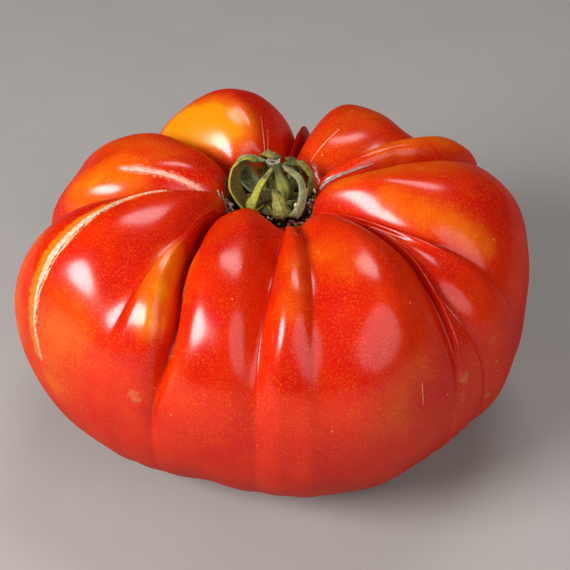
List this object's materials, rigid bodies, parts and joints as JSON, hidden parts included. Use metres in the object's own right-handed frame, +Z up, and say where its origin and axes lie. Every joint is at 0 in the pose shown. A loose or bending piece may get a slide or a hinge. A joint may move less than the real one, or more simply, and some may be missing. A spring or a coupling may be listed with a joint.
{
  "type": "tomato",
  "caption": "Whole ripe beefsteak tomato with deep uneven ribs, a hollow top and its dried calyx and stalk stub, resting on a small flat underside.",
  "frame": {"origin": "centre of the bounding box in plan, at the level of the surface the fruit rests on", "axes": "+X to the right along the fruit's greatest width, -Y towards the side with the broad front lobes, +Z up along the stalk"},
  "size_m": [0.1266, 0.1072, 0.073],
  "materials": {
    "skin": "glossy",
    "dried_calyx": "matte"
  },
  "bodies": {
    "root": {"fruit": "skin", "calyx": "dried_calyx"}
  },
  "joints": []
}
